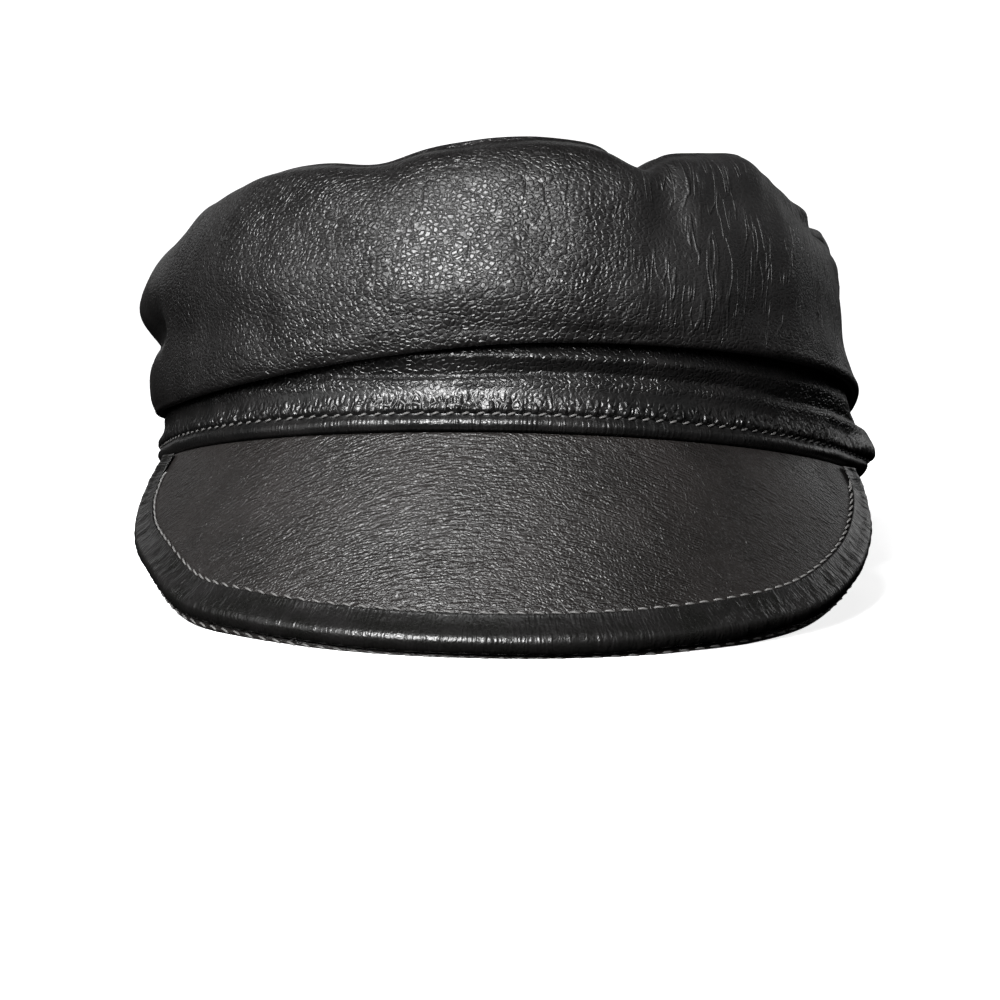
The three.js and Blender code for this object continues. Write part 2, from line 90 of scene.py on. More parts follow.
flat = math.cos(CAMERA_TILT)
forward = Vector((math.sin(CAMERA_TURN) * flat, math.cos(CAMERA_TURN) * flat, math.sin(CAMERA_TILT)))
level_right = Vector((math.cos(CAMERA_TURN), -math.sin(CAMERA_TURN), 0))
level_up = level_right.cross(forward)
right = level_right * math.cos(CAMERA_ROLL) + level_up * math.sin(CAMERA_ROLL)
looks = Matrix((right, right.cross(forward), -forward)).transposed().to_4x4()
camera_data = bpy.data.cameras.new("camera")
camera_data.lens = CAMERA_FOCAL * camera_data.sensor_width
camera = new_object("camera", camera_data)
camera.matrix_world = laid @ Matrix.Translation(Vector(CAMERA_AT) * MM) @ looks
bpy.context.scene.camera = camera
print("camera height", round(camera.matrix_world.translation.z, 3), "lens", round(camera_data.lens, 1))

# %% [markdown]
# The forms of the crown and the band are kept in short tables, one row for each section or fold,
# and read with a smooth curve between the rows. Angles are degrees from the front, positive to the
# right. Other numbers are mm, or shares of the named sizes.

# %% Sizes
HEAD_HALF_WIDTH = 88
HEAD_HALF_LENGTH = 94
BAND_HEIGHT = 23.5
BAND_WALL = 2.2
BAND_NAPE_SAG = 4.5
NAPE_SAG_WIDTH = 42
SAG_FADE = 0.75
CROWN_HEIGHT = 70
CROWN_PUFF = 10
CROWN_DROOP = 10
CROWN_WALL = 1.2
TOP_WALL = 1.6
TOP_CENTRE_UP = 57
GAP = 0.35
print("opening", 2 * HEAD_HALF_WIDTH, "by", 2 * HEAD_HALF_LENGTH, "mm")

# %% Tables of the crown


def table(names, rows):
    """A table with named columns: a dict of one array for each."""
    return {name: np.array(values, float) for name, values in zip(names.split(), zip(*rows))}


CROWN_SECTIONS = table("at droop fold belly belly_up shoulder shoulder_up edge edge_up", [
    (-180, 0.45, 0.7, 1.0, 0.46, 0.55, 0.6, -0.5, 0.68),
    (-135, 0.6, 0.65, 0.95, 0.48, 0.55, 0.61, -0.5, 0.7),
    (-100, 0.8, 0.5, 0.92, 0.6, 0.55, 0.71, -0.4, 0.81),
    (-80, 1.0, 0.5, 0.96, 0.6, 0.55, 0.74, -0.35, 0.85),
    (-60, 1.12, 0.6, 0.86, 0.57, 0.45, 0.76, -0.4, 0.87),
    (-40, 0.98, 0.72, 0.95, 0.55, 0.5, 0.8, -0.35, 0.925),
    (-20, 0.65, 0.68, 0.98, 0.46, 0.6, 0.81, -0.3, 0.93),
    (0, 0.32, 0.66, 1.0, 0.44, 0.65, 0.84, -0.3, 0.98),
    (20, 0.2, 0.66, 0.97, 0.46, 0.6, 0.84, -0.3, 0.96),
    (40, 0.17, 0.72, 0.75, 0.53, 0.35, 0.82, -0.45, 1.0),
    (60, 0.2, 0.55, 0.2, 0.5, -0.05, 0.75, -0.6, 0.888),
    (85, 0.3, 0.42, -0.4, 0.5, -0.55, 0.74, -0.68, 0.91),
    (115, 0.4, 0.55, 0.2, 0.48, 0.0, 0.7, -0.6, 0.82),
])
CROWN_CREASES = table("from_at from_up to_at to_up width depth", [
    (34, 1.02, 50, 0.86, 3.2, -1.3),
    (50, 0.86, 82, 0.64, 3.4, -2.0),
    (41, 1.02, 56, 0.87, 4.5, 2.7),
    (56, 0.87, 88, 0.72, 5.5, 4.2),
    (86, 0.92, 108, 0.86, 9, -1.4),
    (17, 1.02, 20, 0.74, 6, 2.1),
    (-22, 1.0, -19, 0.85, 8, 1.3),
    (31, 0.78, 35, 0.44, 7, 1.1),
    (-112, 0.45, -66, 0.43, 5, 4.2),
    (-60, 0.4, -36, 0.36, 6, 1.0),
    (-66, 0.86, -80, 0.72, 7, 1.6),
    (-140, 0.62, -128, 0.3, 9, 2.0),
    (150, 0.62, 138, 0.3, 9, 2.0),
    (168, 0.5, 176, 0.28, 8, 1.2),
])
EDGE_DIPS = table("at width drop", [
    (-22, 6, 1.6), (17.5, 3.6, 4.6), (53, 8, 2.4), (-68, 7, 1.4), (140, 12, 2.0), (-130, 12, 2.0),
])
LIP = table("inwards down", [(0, 0.8), (1.2, 0.1), (2.3, 0.6), (2.8, 1.9), (2.9, 4.2)])
print("crown sections", len(CROWN_SECTIONS["at"]), "creases", len(CROWN_CREASES["depth"]))

# %% Tables of the band
BAND_FACE = table("out up", [
    (0.75, 0), (1.25, 0.021), (1.52, 0.064), (1.45, 0.11), (1.1, 0.153), (1.05, 0.175),
    (1.4, 0.197), (1.48, 0.222), (1.35, 0.285), (1.22, 0.35), (1.19, 0.41), (1.26, 0.477),
    (1.14, 0.519), (1, 0.553), (1.12, 0.61), (1.5, 0.675), (1.72, 0.72), (1.5, 0.768),
    (1.2, 0.84), (0.75, 1),
])
SWELLINGS = table("at width out up tall", [(80, 9, 5.2, 0.32, 0.26), (-84, 9, 1.2, 0.18, 0.2)])
ROLL_FROM = 0.55
ROLL_OUT = 1.45
ROLL_AT = 6
ROLL_WIDTH = 52
ROLL_LEAST = 0.15
LEAN_AT = 84
LEAN_WIDTH = 18
LEAN_IN = 2.0
LEAN_THIN = 0.3
print("band face rows", len(BAND_FACE["up"]), "swellings", len(SWELLINGS["at"]))

# %% Reading the tables


def bell(x):
    """A smooth hump, 1 in the middle."""
    return np.exp(-np.square(x))


def smooth(x):
    """A soft step from 0 to 1."""
    t = np.clip(x, 0, 1)
    return t * t * (3 - 2 * t)


def fade(x, start, full):
    """A soft step that leaves 0 at start and reaches 1 at full. It may run downwards."""
    return smooth((x - start) / (full - start))


def lerp(a, b, t):
    """A share t of the way from a to b."""
    return a + (b - a) * t


def cubic(t, start, end, leave, arrive, step):
    """A smooth curve from start to end, with the slopes that it leaves and arrives with."""
    ends = (2 * t**3 - 3 * t**2 + 1) * start + (3 * t**2 - 2 * t**3) * end
    return ends + ((t**3 - 2 * t**2 + t) * leave + (t**3 - t**2) * arrive) * step


def turn(start, end):
    """Shortest turn between two directions, in degrees."""
    return np.mod(end - start + 180, 360) - 180


def around_head(rows, column, degrees):
    """A column of a table that closes round the head, read by a cubic through its rows."""
    order = np.argsort(np.mod(rows["at"], 360))
    at = np.mod(rows["at"], 360)[order]
    value = rows[column][order]
    at = np.concatenate([at[-2:] - 360, at, at[:2] + 360])
    value = np.concatenate([value[-2:], value, value[:2]])
    slope = np.zeros_like(value)
    slope[1:-1] = (value[2:] - value[:-2]) / (at[2:] - at[:-2])
    angle = np.mod(degrees, 360)
    i = np.clip(np.searchsorted(at, angle, side="right") - 1, 1, len(at) - 3)
    step = at[i + 1] - at[i]
    return cubic((angle - at[i]) / step, value[i], value[i + 1], slope[i], slope[i + 1], step)


def along_lines(rows, degrees, up):
    """Sum of a table's creases at points of the crown wall, in mm inwards."""
    arc = HEAD_HALF_WIDTH * math.pi / 180
    total = np.zeros(np.broadcast(degrees, up).shape)
    for a, ua, b, ub, width, depth in zip(*rows.values()):
        line = np.array((turn(a, b) * arc, (ub - ua) * CROWN_HEIGHT))
        x = turn(a, degrees) * arc
        y = up - ua * CROWN_HEIGHT
        share = np.clip((x * line[0] + y * line[1]) / (line @ line), 0, 1)
        total = total + depth * bell(np.hypot(x - line[0] * share, y - line[1] * share) / width)
    return total


front_edge = float(around_head(CROWN_SECTIONS, "edge_up", 0.0)) * CROWN_HEIGHT
print("edge height in front", round(front_edge, 1), "mm")

# %% [markdown]
# Points round the head are told by their direction, how far they stand out from the head opening,
# and their height. The opening is an ellipse, a little longer than it is wide.

# %% Round the head
FRONT_CROWDING = 0.25
PATTERN_RADIUS = 92


def head_radius(angle):
    """Radius of the head opening in a direction, in radians from the front."""
    reach = np.hypot(HEAD_HALF_LENGTH * np.sin(angle), HEAD_HALF_WIDTH * np.cos(angle))
    return HEAD_HALF_WIDTH * HEAD_HALF_LENGTH / reach


def columns(count):
    """Directions round the head, in radians, closer together in front where the eye looks."""
    theta = np.linspace(0, 2 * math.pi, count, endpoint=False)
    return theta - FRONT_CROWDING * np.sin(theta)


def around(angle, radius, up):
    """Points of the level cap from directions, radii and heights."""
    return np.stack(np.broadcast_arrays(radius * np.sin(angle), -radius * np.cos(angle), up), -1)


def noise_at(x, y, z):
    """Smooth noise, about -0.7 to 0.7, at places given by arrays."""
    x, y, z = np.broadcast_arrays(x, y, z)
    places = zip(x.ravel().tolist(), y.ravel().tolist(), z.ravel().tolist())
    return np.array([noise.noise(place) for place in places]).reshape(x.shape)


def waves(angle, up, rows):
    """Soft hills round the crown or the band, the sum of a table's rows, all in mm."""
    total = 0
    for wide, tall, seed, high in zip(*rows.values()):
        place = around(angle, PATTERN_RADIUS / wide, up / tall + seed)
        total = total + noise_at(*np.moveaxis(place, -1, 0)) * high
    return total


ring = head_radius(columns(400)) * np.gradient(columns(400))
print("opening, mm round", round(float(ring.sum())))

# %% [markdown]
# A wall's section is a line through a few points. To make leather look soft, that line is drawn as
# a smooth curve and read at many stations. The wall is then given its thickness by stepping to both
# sides of the curve, so that its two faces stay a wall apart wherever it bends.

# %% Smooth lines and walls


def refine(points, places):
    """A smooth curve through the last but one axis of points, read at places counted in points."""
    steps = np.sqrt(np.maximum(np.linalg.norm(np.diff(points, axis=-2), axis=-1), 1e-6))[..., None]
    chord = np.diff(points, axis=-2) / steps
    before = steps[..., :-1, :]
    after = steps[..., 1:, :]
    inner = (chord[..., :-1, :] * after + chord[..., 1:, :] * before) / (after + before)
    slope = np.concatenate([chord[..., :1, :], inner, chord[..., -1:, :]], -2)
    i = np.clip(np.floor(places).astype(int), 0, points.shape[-2] - 2)
    start, end = points[..., i, :], points[..., i + 1, :]
    leave, arrive = slope[..., i, :], slope[..., i + 1, :]
    return cubic((places - i)[:, None], start, end, leave, arrive, steps[..., i, :])


def sides(line):
    """Directions square to a line of (out, up) points, to its right."""
    d = np.gradient(line, axis=-2)
    d = d / np.maximum(np.linalg.norm(d, axis=-1, keepdims=True), 1e-9)
    return np.stack([d[..., 1], -d[..., 0]], -1)


def stations(*spans):
    """Places along a curve: each span is (from, to, how many)."""
    parts = [np.linspace(a, b, n, endpoint=False) for a, b, n in spans]
    return np.concatenate(parts + [[spans[-1][1]]])


print("a curve of 3 points is read at", len(stations((0, 2, 10))), "places")

# %% [markdown]
# All the pieces become meshes in the same way: a grid of points, joined by four-sided faces. Each
# point keeps its place in the leather's own pattern, so that grain follows the leather round bends.
# Pieces that run round the head use a cylinder for this, which has no seam to show. A second mark,
# the look, says how wrinkled or grained the leather is there.

# %% From grids to pieces


def grid_faces(rows, size, loop_rows, loop_size):
    """Four-sided faces of a grid of rows by size points, numbered row by row."""
    i = np.arange(rows if loop_rows else rows - 1)
    j = np.arange(size if loop_size else size - 1)
    a, b = np.meshgrid(i, j, indexing="ij")
    c = (a + 1) % rows
    d = (b + 1) % size
    return np.stack([a * size + b, c * size + b, c * size + d, a * size + d], -1).reshape(-1, 4)


def tube_faces(rows, size):
    """Faces of a tube: a grid of rows by size points, closed round, with a lid on each end."""
    first = list(range(size))
    last = [(rows - 1) * size + k for k in first]
    return grid_faces(rows, size, False, True).tolist() + [first, last[::-1]]


def mark(mesh, name, values):
    """Stores up to three numbers for each point of a mesh, for the materials to read."""
    own = mesh.attributes.new(name, "FLOAT_VECTOR", "POINT")
    kept = np.zeros((len(mesh.vertices), 3), np.float32)
    kept[:, : values.shape[-1]] = values
    own.data.foreach_set("vector", kept.ravel())


def face_out(mesh):
    """Turns the faces of a closed mesh outwards, by the sign of its volume."""
    mesh.calc_loop_triangles()
    corners = np.empty(len(mesh.loop_triangles) * 3, np.int32)
    mesh.loop_triangles.foreach_get("vertices", corners)
    where = np.empty(len(mesh.vertices) * 3)
    mesh.vertices.foreach_get("co", where)
    a, b, c = where.reshape(-1, 3)[corners.reshape(-1, 3)].transpose(1, 0, 2)
    if np.einsum("ij,ij->", a, np.cross(b, c)) < 0:
        mesh.flip_normals()
    return len(mesh.loop_triangles)


def make_piece(name, points, faces, pattern, look, slot, material):
    """A smooth mesh piece that rides with the cap, from points in mm on the level cap."""
    mesh = bpy.data.meshes.new(name)
    placed = lay(points.reshape(-1, 3))
    placed[:, 2] = np.maximum(placed[:, 2], 0)
    mesh.from_pydata(placed.tolist(), [], [tuple(int(v) for v in face) for face in faces])
    mark(mesh, "pattern", pattern.reshape(-1, pattern.shape[-1]) * MM)
    mark(mesh, "look", np.broadcast_to(look, (*points.shape[:-1], 2)).reshape(-1, 2))
    mesh.shade_smooth()
    mesh.materials.append(material)
    piece = new_object(name, mesh)
    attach(piece, "root")
    print(name, "triangles", face_out(mesh))
    return piece


def dress(node, points, faces, pattern, look, leather, name=None):
    """A piece that stands for a solid, of a leather's material. The leather's slot is not used."""
    piece = make_piece(name or node + "_leather", points, faces, pattern, look, *leather)
    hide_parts(node)


# %% [markdown]
# Materials. Each is garment leather dyed black and finished in its own way. One function turns a
# colour from its hex code to linear light, and one adds a node, joins it and hands on its output.
# A new hide starts with the leather's own pattern, so that all its grain is laid out on that.

# %% Helpers for materials


def linear(code):
    """A colour from its sRGB hex code."""
    parts = [int(code[i : i + 2], 16) / 255 for i in (1, 3, 5)]
    return (*[c / 12.92 if c <= 0.04045 else ((c + 0.055) / 1.055) ** 2.4 for c in parts], 1)


def add(tree, kind, inputs, output=0, **settings):
    """Adds a shader node with its settings. Its inputs are values, or sockets to join."""
    node = tree.nodes.new("ShaderNode" + kind)
    for key, value in settings.items():
        setattr(node, key, value)
    for key, value in inputs.items():
        if isinstance(value, bpy.types.NodeSocket):
            tree.links.new(value, node.inputs[key])
        else:
            node.inputs[key].default_value = value
    return node.outputs[output] if node.outputs else node


def new_tree(name):
    """An empty material and its node tree."""
    material = bpy.data.materials.new(name)
    material.use_nodes = True
    material.node_tree.nodes.clear()
    return material, material.node_tree


def new_hide(name):
    """The same, with the place of each point in the leather's pattern."""
    material, tree = new_tree(name)
    return material, tree, add(tree, "Attribute", {}, "Vector", attribute_name="pattern")


def per_mm(*sizes):
    """Scales that make one unit of a texture so many mm along each axis."""
    return tuple(1 / (size * MM) for size in sizes)


print("black dye in linear light", [round(c, 4) for c in linear("#151414")[:3]])

# %% [markdown]
# Leather grain is a network of fine grooves between small pebbles. A Voronoi texture's distance to
# the nearest edge draws just that. Its cells are pushed about by noise so that no two are alike.
# Cells much longer one way turn into the thin lines of leather that is stretched or packed. A hide
# lies in soft patches of two dyes. Layers of relief are pressed into it one after another, and its
# grooves keep more wax than its pebbles, so they shine a little less.

# %% Grain
GROOVE_TOP = 0.4
GROOVE_DULL = 0.08


def pebbles(tree, place, sizes, groove, wander):
    """Height of a grain: 1 on pebbles of the given sizes in mm, 0 in the grooves between them.

    The groove's half width and how far the pebbles wander are shares of a pebble.
    """
    spread = add(tree, "VectorMath", {0: place, 1: per_mm(*sizes)}, operation="MULTIPLY")
    push = add(tree, "TexNoise", {"Vector": spread, "Scale": 0.45, "Detail": 2.0}, "Color")
    centred = add(tree, "VectorMath", {0: push, 1: (0.5, 0.5, 0.5)}, operation="SUBTRACT")
    inputs = {0: centred, 1: (wander, wander, wander), 2: spread}
    moved = add(tree, "VectorMath", inputs, operation="MULTIPLY_ADD")
    inputs = {"Vector": moved, "Scale": 1.0}
    edge = add(tree, "TexVoronoi", inputs, "Distance", feature="DISTANCE_TO_EDGE")
    return add(tree, "MapRange", {"Value": edge, "From Max": groove}, interpolation_type="SMOOTHSTEP")


def hide(material, place, size, colours, polish, grain, layers, dull=0.0):
    """Dyed leather in patches of a size in mm, with layers of (height, depth in mm, strength)."""
    tree = material.node_tree
    patch = add(tree, "TexNoise", {"Vector": place, "Scale": 1 / (size * MM), "Detail": 3.0})
    share = add(tree, "MapRange", {"Value": patch, "From Min": 0.35, "From Max": 0.65})
    inputs = {"Factor": share, "A": linear(colours[0]), "B": linear(colours[1])}
    colour = add(tree, "Mix", inputs, "Result", data_type="RGBA")
    rough = add(tree, "MapRange", {"Value": share, "To Min": polish[0], "To Max": polish[1]})
    inputs = {"Value": grain, "From Max": GROOVE_TOP, "To Min": GROOVE_DULL, "To Max": 0.0}
    grooves = add(tree, "MapRange", inputs)
    rough = add(tree, "Math", {0: rough, 1: grooves}, operation="ADD")
    rough = add(tree, "Math", {0: rough, 1: dull}, operation="ADD", use_clamp=True)
    below = {}
    for height, depth, strength in layers:
        inputs = {"Height": height, "Distance": abs(depth) * MM, "Strength": strength, **below}
        below = {"Normal": add(tree, "Bump", inputs, invert=depth < 0)}
    inputs = {"Base Color": colour, "Roughness": rough, "IOR": 1.5, **below}
    shader = add(tree, "BsdfPrincipled", inputs)
    add(tree, "OutputMaterial", {"Surface": shader})
    print(material.name, "nodes", len(tree.nodes))


# %% [markdown]
# The crown is soft nappa: drum dyed black, tumbled until it wrinkles, and given a thin satin coat.
# The coat makes the tops of the pebbles sparkle and leaves the grooves dark. Its pebbles are 1.2 mm
# wide. On the right the leather is pulled down, and the grain gives way to thin upright ridges.
# These come and go along the lines where a noise, stretched upwards, passes its middle value.

# %% Crown leather
PULLED_DULL = 0.16
PULLED_FLAT = 0.6
RIDGE_EVERY = (2.2, 2.2, 13.0)
RIDGE_WIDTH = 0.07

# Pebbled nappa. The look's first number is how far it is pulled, its second how grained.
material, tree, place = new_hide("black_nappa_crown")
look = add(tree, "Attribute", {}, "Vector", attribute_name="look")
pulled = add(tree, "SeparateXYZ", {0: look}, "X")
grained = add(tree, "SeparateXYZ", {0: look}, "Y")
grain = pebbles(tree, place, (1.2, 1.2, 1.0), 0.25, 1.1)
cracks = pebbles(tree, place, (6.5, 6.5, 8.0), 0.09, 1.6)
drawn = add(tree, "VectorMath", {0: place, 1: per_mm(*RIDGE_EVERY)}, operation="MULTIPLY")
field = add(tree, "TexNoise", {"Vector": drawn, "Scale": 1.0, "Detail": 1.0, "Distortion": 0.5})
aside = add(tree, "Math", {0: field, 1: 0.5}, operation="SUBTRACT")
aside = add(tree, "Math", {0: aside}, operation="ABSOLUTE")
inputs = {"Value": aside, "From Min": RIDGE_WIDTH, "From Max": 0.0}
ridges = add(tree, "MapRange", inputs, interpolation_type="SMOOTHSTEP")
come_and_go = add(tree, "TexNoise", {"Vector": place, "Scale": 1 / (7 * MM), "Detail": 2.0})
shown = add(tree, "MapRange", {"Value": come_and_go, "From Min": 0.4, "From Max": 0.55})
ridge_share = add(tree, "Math", {0: shown, 1: pulled}, operation="MULTIPLY")
free = add(tree, "Math", {0: 1.0, 1: pulled}, operation="SUBTRACT")
crack_share = add(tree, "Math", {0: free, 1: grained}, operation="MULTIPLY")
flat_share = add(tree, "Math", {0: pulled, 1: -PULLED_FLAT, 2: 1.0}, operation="MULTIPLY_ADD")
grain_share = add(tree, "Math", {0: grained, 1: flat_share}, operation="MULTIPLY")
dull = add(tree, "Math", {0: pulled, 1: PULLED_DULL}, operation="MULTIPLY")
layers = [(cracks, 0.1, crack_share), (ridges, 0.22, ridge_share), (grain, 0.15, grain_share)]
hide(material, place, 15, ("#0f0e0e", "#151414"), (0.33, 0.4), grain, layers, dull)
CROWN_LEATHER = ("crown_leather", material)

# %% [markdown]
# The crown's side is one wall of soft leather. Its hem is sewn inside the band's top, it droops over
# the band in a soft fold, swells out, and turns in over the top edge. It could be sculpted by hand.
# Here it is worked out as sections round the head, each a smooth line given a thickness, so that
# every fold keeps to the solid below.

# %% How the band and crown meet


def nape_sag(degrees):
    """How much lower the band hangs at the nape, in mm."""
    return BAND_NAPE_SAG * bell(turn(180, degrees) / NAPE_SAG_WIDTH)


def leaning(degrees):
    """How much the band's top leans in on the right, 0 to 1."""
    return bell(turn(LEAN_AT, degrees) / LEAN_WIDTH)


def rolled_out(degrees, share):
    """How far the band's upper part stands out where its face stands out by a share, in mm."""
    roll = lerp(ROLL_LEAST, 1, bell(turn(ROLL_AT, degrees) / ROLL_WIDTH))
    return BAND_WALL * lerp(1, share, roll) * (1 - LEAN_THIN * leaning(degrees))


def crown_edge(angle):
    """Out and up of the crown's top edge."""
    degrees = np.degrees(angle)
    up = around_head(CROWN_SECTIONS, "edge_up", degrees) * CROWN_HEIGHT
    for at, width, drop in zip(*EDGE_DIPS.values()):
        up = up - drop * bell(turn(at, degrees) / width)
    out = around_head(CROWN_SECTIONS, "edge", degrees) * CROWN_PUFF
    return out - along_lines(CROWN_CREASES, degrees, up), up


print("upper roll in front", round(float(rolled_out(0.0, ROLL_OUT)), 2), "mm out")

# %% The crown wall's middle line
HEM_CLEAR = 0.2
FOLD_CLEAR = 0.4
HEM_IN = 0.5
HEM_TURN = 1
HEM_DOWN = 0.1
FOLD_SIDES = 0.4
FOLD_CORNER = 0.78
FOLD_SAG = 0.3
FOLD_ROUND = 0.55
FACE_RISE = table("out up", [(0.48, 0.38), (0.82, 0.7)])
FACE_START = (0.2, 2.2)
BELLY_TO_SHOULDER = (0.4, 0.5, 0.3)
SHOULDER_TO_EDGE = (0.5, 0.62, 0.9)


def between(out_a, out_b, up_a, up_b, out_share, up_share, swell):
    """A point between two others, that stands out by a swell in mm."""
    return lerp(out_a, out_b, out_share) + swell, lerp(up_a, up_b, up_share)


def crown_line(angle):
    """The crown wall's middle line at each angle: hem, fold, face, edge and lip."""
    degrees = np.degrees(angle)
    row = {name: around_head(CROWN_SECTIONS, name, degrees) for name in CROWN_SECTIONS if name != "at"}
    band_top = BAND_HEIGHT - (1 - SAG_FADE) * nape_sag(degrees)
    hem_up = band_top + GAP + CROWN_WALL / 2
    lean = LEAN_IN * leaning(degrees)
    inner = rolled_out(degrees, ROLL_OUT) - lean + GAP + CROWN_WALL / 2 + HEM_CLEAR
    outer = np.maximum(row["fold"] * CROWN_PUFF - lean, inner + CROWN_WALL + FOLD_CLEAR)
    turn_up = (outer - inner) / 2
    low = band_top - row["droop"] * CROWN_DROOP
    edge_out, edge_up = crown_edge(angle)
    belly = row["belly"] * CROWN_PUFF
    belly_up = row["belly_up"] * CROWN_HEIGHT
    shoulder = row["shoulder"] * CROWN_PUFF
    shoulder_up = row["shoulder_up"] * CROWN_HEIGHT
    line = [
        (HEM_IN - lean, hem_up),
        (inner - HEM_TURN, hem_up),
        (inner, band_top - HEM_DOWN),
        (inner, low + turn_up * FOLD_SIDES),
        (lerp(inner, outer, FOLD_CORNER), low - FOLD_SAG),
        (outer, low + FOLD_ROUND),
        (lerp(outer, belly, FACE_START[0]), low + FACE_START[1]),
        *[(lerp(outer, belly, a), lerp(low, belly_up, b)) for a, b in zip(*FACE_RISE.values())],
        (belly, belly_up),
        between(belly, shoulder, belly_up, shoulder_up, *BELLY_TO_SHOULDER),
        (shoulder, shoulder_up),
        between(shoulder, edge_out, shoulder_up, edge_up, *SHOULDER_TO_EDGE),
    ]
    line += [(edge_out - a, edge_up - b) for a, b in zip(LIP["inwards"], LIP["down"])]
    return np.stack([np.stack(point, -1) for point in line], 1)


print("crown line points", crown_line(columns(8)).shape[1])

# %% [markdown]
# Slack leather lies in soft hills. On the right half it is pulled into upright folds as well. Each
# of these fades in and out between two places, which are counted in points of the middle line, in
# degrees from the front, or in shares of the crown's height.

# %% Slack and folds of the crown
CROWN_HILLS = table("wide tall seed high", [(24, 20, 9.1, 1.1), (9, 11, 5.7, 0.4)])
PULLED_FOLDS = table("wide tall seed high", [(5.5, 30, 3.3, 0.55)])
FOLDS_LEAN = 0.2
CREASES_IN = (5.4, 7.9)
CREASES_END = 13
SLACK_IN = (5, 7)
SLACK_OUT = (14.5, 12.5)
PULLED_FROM = 6
PULLED_WITHIN = 18
PULLED_RIGHT = (84, 68)
PULLED_UP = (0.24, 0.44)
PULLED_LEAST = 0.1


def pulled_at(degrees, up):
    """How far the crown's leather is pulled: most on the right half, a little elsewhere."""
    right_half = smooth(turn(PULLED_FROM, degrees) / PULLED_WITHIN) * fade(degrees, *PULLED_RIGHT)
    return lerp(PULLED_LEAST, 1, right_half * fade(up / CROWN_HEIGHT, *PULLED_UP))


def crown_shape(angle, places):
    """The crown wall's middle line, refined, with creases, hills and folds pressed into its face."""
    degrees = np.degrees(angle)[:, None]
    line = refine(crown_line(angle), places)
    up = line[..., 1]
    on_face = fade(places, *CREASES_IN) * np.clip(CREASES_END - places, 0, 1)
    line[..., 0] -= along_lines(CROWN_CREASES, degrees, up) * on_face
    hills = waves(angle[:, None], up, CROWN_HILLS)
    folds = waves(angle[:, None], up + FOLDS_LEAN * degrees, PULLED_FOLDS) * pulled_at(degrees, up)
    loose = fade(places, *SLACK_IN) * fade(places, *SLACK_OUT)
    return line + sides(line) * ((hills + folds) * loose)[..., None]


print("pulled in front on the right", round(float(pulled_at(45.0, CROWN_HEIGHT / 2)), 2))

# %% Crown side
CROWN_COLUMNS = 600
CROWN_OUTSIDE = stations((0, 2, 3), (2, 6, 18), (6, 13, 64), (13, 17, 12))
CROWN_INSIDE = stations((0, 5, 10), (5, 13, 26), (13, 17, 8))
GRAINED_LEFT = (-78, -52)
GRAINED_RIGHT = (76, 58)
GRAINED_LEAST = 0.3


def ring_piece(node, angle, section, look, leather):
    """A closed wall round the head from sections of (out, up), for a solid."""
    points = around(angle[:, None], head_radius(angle)[:, None] + section[..., 0], section[..., 1])
    pattern = around(angle[:, None], PATTERN_RADIUS, section[..., 1])
    faces = grid_faces(*section.shape[:2], True, True)
    dress(node, points, faces, pattern, look, leather)


# The crown's side, with a finer face outside than inside.
angle = columns(CROWN_COLUMNS)
degrees = np.degrees(angle)[:, None]
outside = crown_shape(angle, CROWN_OUTSIDE)
inside = crown_shape(angle, CROWN_INSIDE)
outside = outside + sides(outside) * CROWN_WALL / 2
inside = inside - sides(inside) * CROWN_WALL / 2
section = np.concatenate([outside, inside[:, ::-1]], 1)
worn = turn(0, degrees)
grained = lerp(GRAINED_LEAST, 1, fade(worn, *GRAINED_LEFT) * fade(worn, *GRAINED_RIGHT))
look = np.stack(np.broadcast_arrays(pulled_at(worn, section[..., 1]), grained), -1)
ring_piece("crown_side", angle, section, look, CROWN_LEATHER)

# %% [markdown]
# The crown's top is a soft disc. Its rim is turned down and sewn to the side's lip, and its middle
# sinks a little under its own weight. It is a stack of rings that shrink towards the centre.

# %% Crown top
TOP_TURN = table("inwards down", [(0, 4.4), (0, 1.9), (0.6, 0.7), (2.2, 0.1)])
TOP_COLUMNS = 360
TOP_OUTSIDE = stations((0, 4, 16), (4, 6.9, 34))
TOP_INSIDE = stations((0, 4, 8), (4, 6.9, 16))
TOP_RINGS = (0.86, 0.64, 0.36)
TOP_SLACK = 2.2
TOP_RIPPLE = 1.1
TOP_UNDER_EDGE = 0.3
TOP_SLOPE = 1.6
TOP_LOOK = (0.1, 0.8)


def top_line(angle):
    """The top's middle line from its turned-down rim to its centre: radius and height."""
    edge_out, edge_up = crown_edge(angle)
    rim = head_radius(angle) + edge_out - LIP["inwards"][-1] - CROWN_WALL / 2 - GAP - TOP_WALL / 2
    line = [(rim - a, edge_up - b) for a, b in zip(TOP_TURN["inwards"], TOP_TURN["down"])]
    for share in TOP_RINGS:
        sway = 1 + 0.5 * np.cos(2 * angle + 0.6)
        slack = TOP_SLACK * (1 - share * share) * sway * smooth(share * 2)
        ripple = TOP_RIPPLE * np.sin(3 * angle + 0.7) * smooth((1 - share) * 4) * smooth(share * 2.4)
        curve = share * share * (TOP_SLOPE - (TOP_SLOPE - 1) * share)
        height = lerp(TOP_CENTRE_UP, edge_up - TOP_UNDER_EDGE, curve)
        line.append((rim * share, height + slack + ripple))
    line.append((0 * rim, TOP_CENTRE_UP + 0 * rim))
    return np.stack([np.stack(point, -1) for point in line], 1)


def top_shape(angle, places):
    """The top's middle line, refined, with slack and wrinkles."""
    line = refine(top_line(angle), places)
    x, y, _ = np.moveaxis(around(angle[:, None], line[..., 0], 0), -1, 0)
    slack = noise_at(x / 34, y / 34, 2.5) * 1.6 - bell(noise_at(x / 11, y / 17, 7.5) / 0.12) * 0.25
    return line + sides(line) * (slack * smooth((places - 3.2) / 1.5))[..., None]


